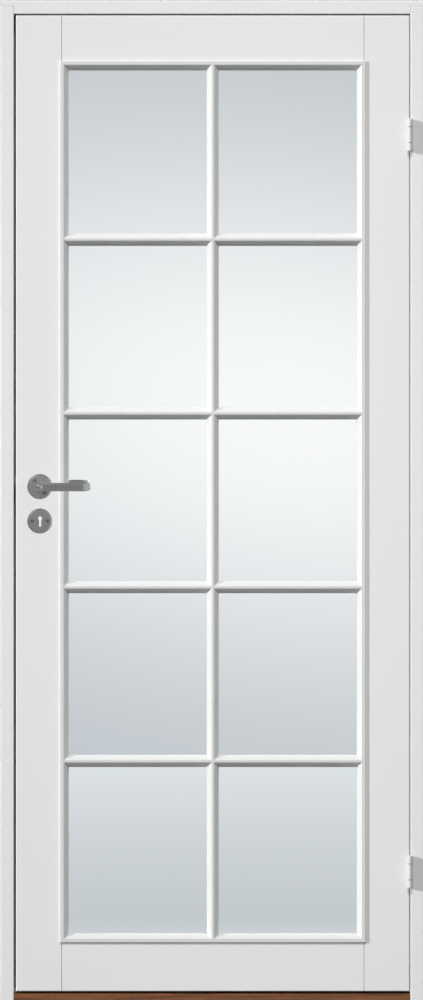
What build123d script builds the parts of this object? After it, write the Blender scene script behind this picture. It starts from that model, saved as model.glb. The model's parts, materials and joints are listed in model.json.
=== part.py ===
from build123d import *
from math import cos, pi, radians, sin, tan
import os

# Glazed solid wood interior door, closed in its rebated frame.
# Millimetres. Seen from the pull side, +X runs to the right, +Y into the wall and +Z up.
# The origin is at floor level, in the middle of the frame's width and depth.

# Frame
FRAME_WIDTH = 885.0
FRAME_HEIGHT = 2090.0
FRAME_DEPTH = 92.0
FACE_WIDTH = 28.0
STOP_WIDTH = 15.5
HEAD_LAP = 10.0
FRAME_ROUND = 2.0
LOCK_GAP = 4.5
HINGE_GAP = 1.5
HEAD_GAP = 3.0
SILL_GAP = 5.0

# Threshold
THRESHOLD_FRONT = 14.0
THRESHOLD_OVERLAP = 5.0
THRESHOLD_SETBACK = 1.0
THRESHOLD_ROUND = 2.5

# Wall fixings: the holes' radius, and how far they lie from the floor and from the frame's top
FIXING_RADIUS = 7.0
LOCK_FIXING_INSETS = (170.0, 690.0)
HINGE_FIXING_INSETS = (130.0, 650.0)

# Seal strips in the rebate
SEAL_GAP = 3.0
SEAL_CLEARANCE = 0.3
SEAL_WIDTH = 9.0
SEAL_CORNER_GAP = 0.5
SEAL_STEM = 3.0
SEAL_STEM_DEPTH = 6.0

# Leaf
LEAF_THICKNESS = 40.0
LEAF_ROUND = 2.0
STILE_WIDTH = 95.0
TOP_RAIL = 98.4
BOTTOM_RAIL = 105.0
LAP_CHAMFER = 0.8
JOINT_LINE = 0.9
JOINT_LINE_DEPTH = 2.0
DOWEL_RADIUS = 8.0
DOWEL_LENGTH = 110.0
DOWEL_SPACING = 48.0

# Glass, mouldings and glazing bars
GLASS_THICKNESS = 4.0
GLASS_EDGE_GAP = 5.0
BLOCK_LENGTH = 80.0
BLOCK_INSET = 60.0
PANE_ROWS = 5
TOP_PANE_EXTRA = 4.0
BOTTOM_PANE_EXTRA = 10.0
MOULDING_WIDTH = 18.0
MOULDING_LAP = 3.0
MOULDING_PROUD = 4.0
MOULDING_ROUND = 1.2
MOULDING_FIT = 0.3
SLOPE_WIDTH = 10.2
SLOPE_DEPTH = 11.5
SLOPE_BULGE = 0.8
BAR_RIDGE = 4.6
HALVING_DEPTH = 12.5

# Hinges
HINGE_INSET = 250.0
HINGE_HEIGHT = 65.0
HINGE_PLATE = 2.5
HINGE_PLATE_WIDTH = 31.0
KNUCKLE_RADIUS = 5.6
KNUCKLE_STANDOFF = 0.6
KNUCKLE_MIDDLE = 32.0
KNUCKLE_GAP = 1.4
PIN_RADIUS = 3.0
PIN_CLEARANCE = 0.05
PIN_CROWN = 1.2
HINGE_SCREW_SPACING = 23.0
HINGE_SCREW_STAGGER = 8.0

# Countersunk wood screw of the hinges, strike plate, faceplate and roses
SCREW_RADIUS = 1.9
SCREW_HEAD_RADIUS = 3.8
SCREW_HEAD_HEIGHT = 2.2
SCREW_POINT = 3.0
SCREW_CLEARANCE = 0.05
SCREW_SLOT = 0.9
SCREW_SLOT_DEPTH = 0.9
HARDWARE_SCREW_LENGTH = 20.0
ROSE_SCREW_LENGTH = 17.0

# Long screw that holds head and threshold to the jambs
FRAME_SCREW_RADIUS = 2.5
FRAME_SCREW_HEAD_RADIUS = 5.0
FRAME_SCREW_HEAD_HEIGHT = 3.0
FRAME_SCREW_LENGTH = 75.0
FRAME_SCREW_SPACING = 50.0

# Lock
BACKSET = 50.0
HANDLE_HEIGHT = 1055.0
KEY_DROP = 72.0
PLATE_WIDTH = 20.0
PLATE_THICKNESS = 3.0
PLATE_MARGIN = 22.0
CASE_DEPTH = 70.0
CASE_THICKNESS = 15.0
CASE_WALL = 1.5
CASE_ABOVE_HANDLE = 32.0
CASE_BELOW_KEY = 20.0
CASE_CLEARANCE = 0.5
FOLLOWER_RADIUS = 9.5
FOLLOWER_WIDTH = 8.0
HUB_RADIUS = 7.5
HUB_CLEARANCE = 0.25
SQUARE = 8.0
SQUARE_CLEARANCE = 0.1
ARM_WIDTH = 5.0
ARM_THICKNESS = 4.0
ARM_TIP_CLEARANCE = 1.0
LEVER_TURN = 45.0

# Latch bolt and its spring
LATCH_TRAVEL = 12.0
LATCH_REACH = 11.5
LATCH_HEIGHT = 20.0
LATCH_THICKNESS = 10.6
LATCH_NOSE = 2.5
LATCH_INSIDE = 14.0
LATCH_TAIL_HEIGHT = 7.0
LATCH_TAIL_WALL = 4.0
BOLT_CLEARANCE = 0.4
WINDOW_CLEARANCE = 0.45
SPRING_RADIUS = 2.6
SPRING_WIRE_RADIUS = 0.4
SPRING_TURNS = 8
SPRING_SEAT_GAP = 0.05

# Deadbolt
DEADBOLT_HEIGHT = 20.0
DEADBOLT_THICKNESS = 8.0
DEADBOLT_LENGTH = 52.0
DEADBOLT_RISE = 24.0
DEADBOLT_TRAVEL = 14.0
TALON_RADIUS = 5.0

# Strike plate in the lock jamb
STRIKE_WIDTH = 25.0
STRIKE_THICKNESS = 2.0
STRIKE_MARGIN = 22.0
STRIKE_HOLE_CLEARANCE = 1.5
POCKET_DEPTH = 13.0

# Lever handle
NECK_RADIUS = 9.0
LEVER_REACH = 46.0
LEVER_LENGTH = 104.5
LEVER_DROP = 1.0
STRAP_HEIGHT = 18.0
STRAP_THICKNESS = 9.0
STRAP_ROUND = 3.5
RETURN_RADIUS = 11.5
RETURN_LENGTH = 23.0
RETURN_TILT = 16.0
SPINDLE_ENGAGEMENT = 28.0
GRUB_RADIUS = 2.5
GRUB_REACH = 16.0

# Roses and escutcheons
ROSE_RADIUS = 26.5
ROSE_THICKNESS = 9.0
ROSE_ROUND = 4.0
ROSE_BORE_CLEARANCE = 0.3
ROSE_SCREW_RADIUS = 16.0
ROSE_SCREW_SINK = 1.0
ROSE_SCREW_ANGLE = 130.0
ESCUTCHEON_SCREW_ANGLE = 180.0
SPINDLE_HOLE_CLEARANCE = 2.0
KEYHOLE_RADIUS = 4.6
KEYHOLE_SLOT = 6.0
KEYHOLE_RISE = 5.5
KEYHOLE_FOOT = 12.0
KEY_PASSAGE_CLEARANCE = 3.0

# How far a cutting tool runs past the face that it leaves
OVERRUN = 20.0

# Places that follow from the sizes above
FRONT_Y = -FRAME_DEPTH / 2
BACK_Y = FRAME_DEPTH / 2
LEAF_BACK_Y = FRONT_Y + LEAF_THICKNESS
LEAF_MID_Y = FRONT_Y + LEAF_THICKNESS / 2
REBATE_Y = LEAF_BACK_Y + SEAL_GAP
SEAL_INSET = STOP_WIDTH - SEAL_CORNER_GAP - SEAL_WIDTH / 2
FRAME_HALF = FRAME_WIDTH / 2
FACE_X = FRAME_HALF - FACE_WIDTH
LEAF_LEFT = LOCK_GAP - FACE_X
LEAF_RIGHT = FACE_X - HINGE_GAP
LEAF_HALF = (LEAF_RIGHT - LEAF_LEFT) / 2
LEAF_X = (LEAF_RIGHT + LEAF_LEFT) / 2
STOP_X = FACE_X - STOP_WIDTH
HEAD_Z = FRAME_HEIGHT - FACE_WIDTH
LEAF_TOP = HEAD_Z - HEAD_GAP
LEAF_BOTTOM = THRESHOLD_FRONT + SILL_GAP
STOP_Z = HEAD_Z - STOP_WIDTH
SILL_STOP_Z = LEAF_BOTTOM + THRESHOLD_OVERLAP
JAMB_TOP = FRAME_HEIGHT - HEAD_LAP

OPENING_HALF = LEAF_HALF - STILE_WIDTH
OPENING_TOP = LEAF_TOP - TOP_RAIL
OPENING_BOTTOM = LEAF_BOTTOM + BOTTOM_RAIL
OPENING_HEIGHT = OPENING_TOP - OPENING_BOTTOM
OPENING_MID_Z = (OPENING_TOP + OPENING_BOTTOM) / 2
GLASS_FACE = (LEAF_THICKNESS - GLASS_THICKNESS) / 2
MOULDING_HALF = OPENING_HALF + MOULDING_LAP
MOULDING_HALF_HEIGHT = OPENING_HEIGHT / 2 + MOULDING_LAP
DAYLIGHT_HALF = MOULDING_HALF - MOULDING_WIDTH
DAYLIGHT_HALF_HEIGHT = MOULDING_HALF_HEIGHT - MOULDING_WIDTH
BAR_WIDTH = BAR_RIDGE + 2 * SLOPE_WIDTH
BARS_AND_EXTRA = (PANE_ROWS - 1) * BAR_WIDTH + TOP_PANE_EXTRA + BOTTOM_PANE_EXTRA
PANE_HEIGHT = (2 * DAYLIGHT_HALF_HEIGHT - BARS_AND_EXTRA) / PANE_ROWS
DAYLIGHT_TOP = OPENING_MID_Z + DAYLIGHT_HALF_HEIGHT
BAR_PITCH = PANE_HEIGHT + BAR_WIDTH
FIRST_BAR_Z = DAYLIGHT_TOP - TOP_PANE_EXTRA - PANE_HEIGHT - BAR_WIDTH / 2
BAR_HEIGHTS = [FIRST_BAR_Z - row * BAR_PITCH for row in range(PANE_ROWS - 1)]

HINGE_X = (LEAF_RIGHT + FACE_X) / 2
HINGE_Y = FRONT_Y - KNUCKLE_STANDOFF - KNUCKLE_RADIUS
HINGE_HEIGHTS = {"upper": LEAF_TOP - HINGE_INSET, "lower": LEAF_BOTTOM + HINGE_INSET}

LOCK_EDGE_X = LEAF_LEFT
SPINDLE_X = LOCK_EDGE_X + BACKSET
SPINDLE_Z = LEAF_BOTTOM + HANDLE_HEIGHT
KEY_Z = SPINDLE_Z - KEY_DROP
CASE_X = LOCK_EDGE_X + PLATE_THICKNESS
CASE_END_X = CASE_X + CASE_DEPTH
CASE_TOP = SPINDLE_Z + CASE_ABOVE_HANDLE
CASE_BOTTOM = KEY_Z - CASE_BELOW_KEY
CASE_FRONT_Y = LEAF_MID_Y - CASE_THICKNESS / 2
CASE_BACK_Y = LEAF_MID_Y + CASE_THICKNESS / 2
PLATE_TOP = CASE_TOP + PLATE_MARGIN
PLATE_BOTTOM = CASE_BOTTOM - PLATE_MARGIN
ARM_SWING = radians(LEVER_TURN / 2)
LATCH_RISE = LATCH_TRAVEL / 2 / tan(ARM_SWING)
LATCH_Z = SPINDLE_Z + LATCH_RISE
WINDOW_HALF = LATCH_TAIL_HEIGHT / 2 * tan(ARM_SWING) + ARM_WIDTH / 2 / cos(ARM_SWING) + WINDOW_CLEARANCE
WINDOW_X = SPINDLE_X - LATCH_TRAVEL / 2
LATCH_END_X = WINDOW_X + WINDOW_HALF + LATCH_TAIL_WALL
DEADBOLT_Z = KEY_Z + DEADBOLT_RISE
STRIKE_TOP = LATCH_Z + LATCH_HEIGHT / 2 + STRIKE_MARGIN
STRIKE_BOTTOM = DEADBOLT_Z - DEADBOLT_HEIGHT / 2 - STRIKE_MARGIN


def block(x0, x1, y0, y1, z0, z1):
    """A box between two corners."""
    middle = Pos((x0 + x1) / 2, (y0 + y1) / 2, (z0 + z1) / 2)
    return middle * Box(abs(x1 - x0), abs(y1 - y0), abs(z1 - z0))


def outline(points):
    """A flat face with straight sides."""
    return make_face(Polyline(*points, close=True))


def facing(point, direction):
    """A place whose own Z points along the direction."""
    return Plane(origin=point, z_dir=direction)


def turned(points):
    """A solid turned about Z from points given as radius and height."""
    return revolve(Plane.XZ * outline(points), Axis.Z)


def rod(radius, start, direction, length):
    """A round bar from a start point."""
    centred_at_end = Cylinder(radius, length, align=(Align.CENTER, Align.CENTER, Align.MIN))
    return facing(start, direction) * centred_at_end


def long_edges(solid, axis, corners):
    """The edges along an axis that pass through the given corners of the section."""
    across = {Axis.X: ("Y", "Z"), Axis.Z: ("X", "Y")}[axis]
    found = ShapeList()
    for edge in solid.edges().filter_by(axis):
        middle = edge @ (1 / 2)
        place = Vector(getattr(middle, across[0]), getattr(middle, across[1]))
        if any((place - Vector(*corner)).length < FRAME_ROUND / 2 for corner in corners):
            found.append(edge)
    return found


def screw(radius, head_radius, head_height, length):
    """A countersunk screw, its head's face at the origin and its shank along -Z."""
    body = turned([
        (0, 0),
        (head_radius, 0),
        (radius, -head_height),
        (radius, SCREW_POINT - length),
        (0, -length),
    ])
    slot = block(-head_radius, head_radius, -SCREW_SLOT / 2, SCREW_SLOT / 2, -SCREW_SLOT_DEPTH, OVERRUN)
    return body - slot


def screw_hole(radius, head_radius, head_height, length):
    """The hole that such a screw sits in, open past its head."""
    gap = SCREW_CLEARANCE
    return turned([
        (0, OVERRUN),
        (head_radius + gap, OVERRUN),
        (head_radius + gap, 0),
        (radius + gap, -head_height),
        (radius + gap, -length - gap),
        (0, -length - gap),
    ])


HARDWARE_SCREW = (SCREW_RADIUS, SCREW_HEAD_RADIUS, SCREW_HEAD_HEIGHT, HARDWARE_SCREW_LENGTH)
ROSE_SCREW = (SCREW_RADIUS, SCREW_HEAD_RADIUS, SCREW_HEAD_HEIGHT, ROSE_SCREW_LENGTH)
FRAME_SCREW = (FRAME_SCREW_RADIUS, FRAME_SCREW_HEAD_RADIUS, FRAME_SCREW_HEAD_HEIGHT, FRAME_SCREW_LENGTH)


def screws_at(places, kind):
    return [place * screw(*kind) for place in places]


def screw_holes_at(places, kind):
    return [place * screw_hole(*kind) for place in places]


# Places of the screws, each with its Z pointing out of the head

def frame_screw_places():
    """Two screws at each end of the head, from above, and of the threshold, from the side."""
    places = []
    for side in (-1, 1):
        for row in (-1, 1):
            y = row * FRAME_SCREW_SPACING / 2
            over_jamb = Plane(origin=(side * (FRAME_HALF - FACE_WIDTH / 2), y, FRAME_HEIGHT))
            beside_sill = facing((side * FRAME_HALF, y, THRESHOLD_FRONT / 2), (side, 0, 0))
            places += [over_jamb, beside_sill]
    return places


def hinge_screw_places(x, out):
    """Three staggered screws in one leaf of each hinge, on the face at x."""
    places = []
    for middle in HINGE_HEIGHTS.values():
        for row in (-1, 0, 1):
            stagger = HINGE_SCREW_STAGGER if row else -HINGE_SCREW_STAGGER
            y = FRONT_Y + (HINGE_PLATE_WIDTH + stagger) / 2
            places.append(facing((x, y, middle + row * HINGE_SCREW_SPACING), (out, 0, 0)))
    return places


def plate_screw_places(x, out, top, bottom, margin):
    """One screw at each end of a plate on the lock edge or in the jamb."""
    heights = (top - margin / 2, bottom + margin / 2)
    return [facing((x, LEAF_MID_Y, z), (out, 0, 0)) for z in heights]


def rose_screw_places():
    """Two screws through each rose and each escutcheon, on both faces of the leaf."""
    places = []
    for face_y, out in ((FRONT_Y, -1), (LEAF_BACK_Y, 1)):
        head_y = face_y + out * (ROSE_THICKNESS - ROSE_SCREW_SINK)
        for middle, angle in ((SPINDLE_Z, ROSE_SCREW_ANGLE), (KEY_Z, ESCUTCHEON_SCREW_ANGLE)):
            for turn in (angle, angle + 180):
                x = SPINDLE_X + ROSE_SCREW_RADIUS * cos(radians(turn))
                z = middle + ROSE_SCREW_RADIUS * sin(radians(turn))
                places.append(facing((x, head_y, z), (0, out, 0)))
    return places


FRAME_SCREW_PLACES = frame_screw_places()
HINGE_FRAME_PLACES = hinge_screw_places(FACE_X, -1)
HINGE_DOOR_PLACES = hinge_screw_places(LEAF_RIGHT, 1)
STRIKE_PLACES = plate_screw_places(-FACE_X, 1, STRIKE_TOP, STRIKE_BOTTOM, STRIKE_MARGIN)
FACEPLATE_PLACES = plate_screw_places(LOCK_EDGE_X, -1, PLATE_TOP, PLATE_BOTTOM, PLATE_MARGIN)
ROSE_PLACES = rose_screw_places()


# Frame

def jamb_blank(side):
    """The rebated section of a jamb, square edged, up to the head's lap."""
    section = outline([
        (side * FRAME_HALF, FRONT_Y),
        (side * FACE_X, FRONT_Y),
        (side * FACE_X, REBATE_Y),
        (side * STOP_X, REBATE_Y),
        (side * STOP_X, BACK_Y),
        (side * FRAME_HALF, BACK_Y),
    ])
    return extrude(section, JAMB_TOP)


def side_seal_groove(side):
    middle = side * (STOP_X + SEAL_INSET)
    half = SEAL_STEM / 2
    return block(middle - half, middle + half, REBATE_Y, REBATE_Y + SEAL_STEM_DEPTH, SILL_STOP_Z, HEAD_Z)


def jamb(side, fixing_insets):
    """A jamb with eased edges, a seal groove, wall fixing holes and its screw holes."""
    corners = [
        (side * FRAME_HALF, FRONT_Y),
        (side * FACE_X, FRONT_Y),
        (side * STOP_X, REBATE_Y),
        (side * STOP_X, BACK_Y),
        (side * FRAME_HALF, BACK_Y),
    ]
    blank = jamb_blank(side)
    body = fillet(long_edges(blank, Axis.Z, corners), FRAME_ROUND)
    top_front = body.edges().filter_by(Axis.X).group_by(Axis.Z)[-1].sort_by(Axis.Y)[0]
    body = chamfer(top_front, LAP_CHAMFER)
    cuts = [side_seal_groove(side)]
    for inset in fixing_insets:
        for height in (inset, FRAME_HEIGHT - inset):
            outside = (side * (FRAME_HALF + OVERRUN), LEAF_MID_Y, height)
            cuts.append(rod(FIXING_RADIUS, outside, (-side, 0, 0), FACE_WIDTH + 2 * OVERRUN))
    return body - cuts - screw_holes_at(FRAME_SCREW_PLACES, FRAME_SCREW)


def lock_jamb():
    """The jamb with the strike plate's recess and the pockets for the bolts."""
    recess = block(-FACE_X - STRIKE_THICKNESS, -FACE_X + OVERRUN, LEAF_MID_Y - STRIKE_WIDTH / 2,
                   LEAF_MID_Y + STRIKE_WIDTH / 2, STRIKE_BOTTOM, STRIKE_TOP)
    recess = recess & block(-FRAME_HALF, -FACE_X, FRONT_Y, REBATE_Y, 0, FRAME_HEIGHT)
    pockets = bolt_openings(-FACE_X - POCKET_DEPTH, -FACE_X)
    return jamb(-1, LOCK_FIXING_INSETS) - recess - pockets - screw_holes_at(STRIKE_PLACES, HARDWARE_SCREW)


def hinge_jamb():
    """The jamb with the recesses for the hinges' frame leaves."""
    recesses = [hinge_recess(middle, FACE_X, FACE_X + HINGE_PLATE) for middle in HINGE_HEIGHTS.values()]
    return jamb(1, HINGE_FIXING_INSETS) - recesses - screw_holes_at(HINGE_FRAME_PLACES, HARDWARE_SCREW)


def head_seal_groove():
    middle = STOP_Z + SEAL_INSET
    half = SEAL_STEM / 2
    return block(-STOP_X, STOP_X, REBATE_Y, REBATE_Y + SEAL_STEM_DEPTH, middle - half, middle + half)


def head():
    """The head: the jambs' section laid flat, its ends cut to lap over the jambs."""
    corners = [
        (FRONT_Y, FRAME_HEIGHT),
        (FRONT_Y, HEAD_Z),
        (REBATE_Y, STOP_Z),
        (BACK_Y, STOP_Z),
        (BACK_Y, FRAME_HEIGHT),
    ]
    section = Plane.YZ * outline([
        (FRONT_Y, FRAME_HEIGHT),
        (FRONT_Y, HEAD_Z),
        (REBATE_Y, HEAD_Z),
        (REBATE_Y, STOP_Z),
        (BACK_Y, STOP_Z),
        (BACK_Y, FRAME_HEIGHT),
    ])
    bar = Pos(-FRAME_HALF, 0, 0) * extrude(section, FRAME_WIDTH)
    bar = fillet(long_edges(bar, Axis.X, corners), FRAME_ROUND)
    bar = bar - [jamb_blank(-1), jamb_blank(1), head_seal_groove()]
    return bar - screw_holes_at(FRAME_SCREW_PLACES, FRAME_SCREW)


def threshold():
    """The rebated sill between the jambs, notched round their stops."""
    front = FRONT_Y + THRESHOLD_SETBACK
    section = Plane.YZ * outline([
        (front, 0),
        (front, THRESHOLD_FRONT),
        (REBATE_Y, THRESHOLD_FRONT),
        (REBATE_Y, SILL_STOP_Z),
        (BACK_Y - THRESHOLD_SETBACK, SILL_STOP_Z),
        (BACK_Y - THRESHOLD_SETBACK, 0),
    ])
    bar = Pos(-FACE_X, 0, 0) * extrude(section, 2 * FACE_X)
    corners = [(front, THRESHOLD_FRONT), (REBATE_Y, SILL_STOP_Z), (BACK_Y - THRESHOLD_SETBACK, SILL_STOP_Z)]
    bar = fillet(long_edges(bar, Axis.X, corners), THRESHOLD_ROUND)
    return bar - [jamb_blank(-1), jamb_blank(1)] - screw_holes_at(FRAME_SCREW_PLACES, FRAME_SCREW)


def seal_section():
    """A stem for the groove and a flattened bulb towards the leaf, depth along +Y from the stop's face."""
    bulb = SEAL_GAP - SEAL_CLEARANCE
    stem = SEAL_STEM / 2
    half = SEAL_WIDTH / 2
    return make_face([
        Line((stem, 0), (stem, SEAL_STEM_DEPTH)),
        Line((stem, SEAL_STEM_DEPTH), (-stem, SEAL_STEM_DEPTH)),
        Line((-stem, SEAL_STEM_DEPTH), (-stem, 0)),
        Line((-stem, 0), (-half, 0)),
        ThreePointArc((-half, 0), (0, -bulb), (half, 0)),
        Line((half, 0), (stem, 0)),
    ])


def side_seal(side):
    foot = Pos(side * (STOP_X + SEAL_INSET), REBATE_Y, SILL_STOP_Z)
    return foot * extrude(seal_section(), HEAD_Z - SILL_STOP_Z)


def head_seal():
    start = Plane(origin=(-STOP_X, REBATE_Y, STOP_Z + SEAL_INSET), x_dir=(0, 0, -1), z_dir=(1, 0, 0))
    return start * extrude(seal_section(), 2 * STOP_X)


def bolt_openings(x0, x1):
    """The two openings for latch and deadbolt in the strike plate or the jamb."""
    gap = STRIKE_HOLE_CLEARANCE
    openings = []
    for z, height, thickness in (
        (LATCH_Z, LATCH_HEIGHT, LATCH_THICKNESS),
        (DEADBOLT_Z, DEADBOLT_HEIGHT, DEADBOLT_THICKNESS),
    ):
        half, rise = thickness / 2 + gap, height / 2 + gap
        openings.append(block(x0, x1, LEAF_MID_Y - half, LEAF_MID_Y + half, z - rise, z + rise))
    return openings


def strike_plate():
    plate = block(-FACE_X - STRIKE_THICKNESS, -FACE_X, LEAF_MID_Y - STRIKE_WIDTH / 2,
                  LEAF_MID_Y + STRIKE_WIDTH / 2, STRIKE_BOTTOM, STRIKE_TOP)
    openings = bolt_openings(-FACE_X - STRIKE_THICKNESS - OVERRUN, -FACE_X + OVERRUN)
    return plate - openings - screw_holes_at(STRIKE_PLACES, HARDWARE_SCREW)


# Hinges

def hinge_recess(middle, x0, x1):
    """The shallow seat of one hinge plate, open at the front face."""
    return block(x0, x1, FRONT_Y - OVERRUN, FRONT_Y + HINGE_PLATE_WIDTH,
                 middle - HINGE_HEIGHT / 2, middle + HINGE_HEIGHT / 2)


def knuckle_spans(middle):
    """Bottom, middle and top knuckle of a hinge, each as its low and high end."""
    half = HINGE_HEIGHT / 2
    inner = KNUCKLE_MIDDLE / 2
    return [
        (middle - half, middle - inner - KNUCKLE_GAP),
        (middle - inner, middle + inner),
        (middle + inner + KNUCKLE_GAP, middle + half),
    ]


def knuckle(span, x0, x1):
    """One barrel on the hinge's axis and the tongue that joins it to the plate between x0 and x1."""
    barrel = rod(KNUCKLE_RADIUS, (HINGE_X, HINGE_Y, span[0]), (0, 0, 1), span[1] - span[0])
    tongue = block(x0, x1, HINGE_Y, FRONT_Y, span[0], span[1])
    return barrel + tongue


def hinge_leaf(middle, x0, x1, spans, bore, screw_places):
    """A plate in its recess with its knuckles, bored for the pin."""
    half = HINGE_HEIGHT / 2
    plate = block(x0, x1, FRONT_Y, FRONT_Y + HINGE_PLATE_WIDTH, middle - half, middle + half)
    body = plate + [knuckle(span, x0, x1) for span in spans]
    hole = rod(bore, (HINGE_X, HINGE_Y, middle - HINGE_HEIGHT), (0, 0, 1), 2 * HINGE_HEIGHT)
    return body - hole - screw_holes_at(screw_places, HARDWARE_SCREW)


def hinge_frame_leaf(middle):
    low, _, high = knuckle_spans(middle)
    return hinge_leaf(middle, FACE_X, FACE_X + HINGE_PLATE, [low, high], PIN_RADIUS, HINGE_FRAME_PLACES)


def hinge_door_leaf(middle):
    spans = [knuckle_spans(middle)[1]]
    bore = PIN_RADIUS + PIN_CLEARANCE
    return hinge_leaf(middle, LEAF_RIGHT - HINGE_PLATE, LEAF_RIGHT, spans, bore, HINGE_DOOR_PLACES)


def hinge_pin(middle):
    """The pin, held in the outer knuckles, with a low crown at both ends."""
    half = HINGE_HEIGHT / 2
    crown = half + PIN_CROWN
    rim = KNUCKLE_RADIUS - PIN_CROWN
    pin = turned([
        (0, -crown),
        (rim, -crown),
        (KNUCKLE_RADIUS, -half),
        (PIN_RADIUS, -half),
        (PIN_RADIUS, half),
        (KNUCKLE_RADIUS, half),
        (rim, crown),
        (0, crown),
    ])
    return Pos(HINGE_X, HINGE_Y, middle) * pin


# Leaf

def stile_blank(side):
    """A full height stile, its three outer edges eased on both faces."""
    inner, outer = LEAF_X + side * OPENING_HALF, LEAF_X + side * LEAF_HALF
    body = block(min(inner, outer), max(inner, outer), FRONT_Y, LEAF_BACK_Y, LEAF_BOTTOM, LEAF_TOP)
    upright = long_edges(body, Axis.Z, [(outer, FRONT_Y), (outer, LEAF_BACK_Y)])
    level = body.edges().filter_by(Axis.X)
    return fillet(upright + level, LEAF_ROUND)


def rail_dowel_places():
    """Two dowels across each of the four stile and rail joints, as (x, z)."""
    places = []
    for side in (-1, 1):
        for middle in (LEAF_TOP - TOP_RAIL / 2, LEAF_BOTTOM + BOTTOM_RAIL / 2):
            for row in (-1, 1):
                places.append((LEAF_X + side * OPENING_HALF, middle + row * DOWEL_SPACING / 2))
    return places


def rail_dowels():
    return [
        rod(DOWEL_RADIUS, (x - DOWEL_LENGTH / 2, LEAF_MID_Y, z), (1, 0, 0), DOWEL_LENGTH)
        for x, z in rail_dowel_places()
    ]


def rail(bottom, top, eased):
    """A rail between the stiles, its outer edges eased and a fine shadow line left open at its joints."""
    left, right = LEAF_X - OPENING_HALF, LEAF_X + OPENING_HALF
    body = block(left, right, FRONT_Y, LEAF_BACK_Y, bottom, top)
    outer = long_edges(body, Axis.X, [(FRONT_Y, eased), (LEAF_BACK_Y, eased)])
    body = fillet(outer, LEAF_ROUND)
    core = block(left, right, FRONT_Y + JOINT_LINE_DEPTH, LEAF_BACK_Y - JOINT_LINE_DEPTH, bottom, top)
    skin = block(left + JOINT_LINE, right - JOINT_LINE, FRONT_Y, LEAF_BACK_Y, bottom, top)
    stepped = body & (core + skin)
    return stepped - rail_dowels()


def keyhole(y0, y1, grow):
    """A prism with the outline of the keyhole, grown all round."""
    round_part = rod(KEYHOLE_RADIUS + grow, (SPINDLE_X, y0, KEY_Z + KEYHOLE_RISE), (0, 1, 0), y1 - y0)
    half = KEYHOLE_SLOT / 2 + grow
    foot = KEY_Z - KEYHOLE_FOOT - grow
    slot = block(SPINDLE_X - half, SPINDLE_X + half, y0, y1, foot, KEY_Z + KEYHOLE_RISE)
    return round_part + slot


def faceplate_blank(gap):
    """The lock's front plate, let into the stile's edge, with half round ends."""
    half = PLATE_WIDTH / 2 + gap
    x0, x1 = LOCK_EDGE_X, LOCK_EDGE_X + PLATE_THICKNESS
    low, high = PLATE_BOTTOM + PLATE_WIDTH / 2, PLATE_TOP - PLATE_WIDTH / 2
    plate = block(x0, x1, LEAF_MID_Y - half, LEAF_MID_Y + half, low, high)
    ends = [rod(half, (x0, LEAF_MID_Y, z), (1, 0, 0), PLATE_THICKNESS) for z in (low, high)]
    return plate + ends


def lock_stile():
    """The stile with the lock's mortise and the holes for spindle, key and screws."""
    gap = CASE_CLEARANCE
    mortise = block(LOCK_EDGE_X, CASE_END_X + gap, CASE_FRONT_Y - gap, CASE_BACK_Y + gap,
                    CASE_BOTTOM - gap, CASE_TOP + gap)
    bore = HUB_RADIUS + HUB_CLEARANCE + SPINDLE_HOLE_CLEARANCE
    through = LEAF_THICKNESS + 2 * OVERRUN
    spindle_hole = rod(bore, (SPINDLE_X, FRONT_Y - OVERRUN, SPINDLE_Z), (0, 1, 0), through)
    key_passage = keyhole(FRONT_Y - OVERRUN, LEAF_BACK_Y + OVERRUN, KEY_PASSAGE_CLEARANCE)
    body = stile_blank(-1) - [mortise, faceplate_blank(gap), spindle_hole, key_passage]
    body = body - rail_dowels() - screw_holes_at(FACEPLATE_PLACES, HARDWARE_SCREW)
    return body - screw_holes_at(ROSE_PLACES, ROSE_SCREW)


def hinge_stile():
    """The stile with the recesses for the hinges' door leaves."""
    seat = LEAF_RIGHT - HINGE_PLATE
    recesses = [hinge_recess(middle, seat, LEAF_RIGHT) for middle in HINGE_HEIGHTS.values()]
    return stile_blank(1) - recesses - rail_dowels() - screw_holes_at(HINGE_DOOR_PLACES, HARDWARE_SCREW)


def glass():
    half = OPENING_HALF - GLASS_EDGE_GAP
    front, back = LEAF_MID_Y - GLASS_THICKNESS / 2, LEAF_MID_Y + GLASS_THICKNESS / 2
    return block(LEAF_X - half, LEAF_X + half, front, back, OPENING_BOTTOM + GLASS_EDGE_GAP,
                 OPENING_TOP - GLASS_EDGE_GAP)


def setting_blocks():
    """Two blocks that carry the glass on the bottom rail."""
    outer = OPENING_HALF - BLOCK_INSET
    inner = outer - BLOCK_LENGTH
    return [
        block(LEAF_X + side * inner, LEAF_X + side * outer, LEAF_MID_Y - GLASS_THICKNESS / 2,
              LEAF_MID_Y + GLASS_THICKNESS / 2, OPENING_BOTTOM, OPENING_BOTTOM + GLASS_EDGE_GAP)
        for side in (-1, 1)
    ]


# Mouldings and glazing bars: section across in x, depth from the leaf's face in y

def slope(upper, lower):
    """The slightly bulging slope from the lip or ridge down towards the glass."""
    start, end = Vector(*upper), Vector(*lower)
    along = (end - start).normalized()
    out = Vector(along.Y, -along.X) if end.X > start.X else Vector(-along.Y, along.X)
    return ThreePointArc(start, (start + end) / 2 + out * SLOPE_BULGE, end)


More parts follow.
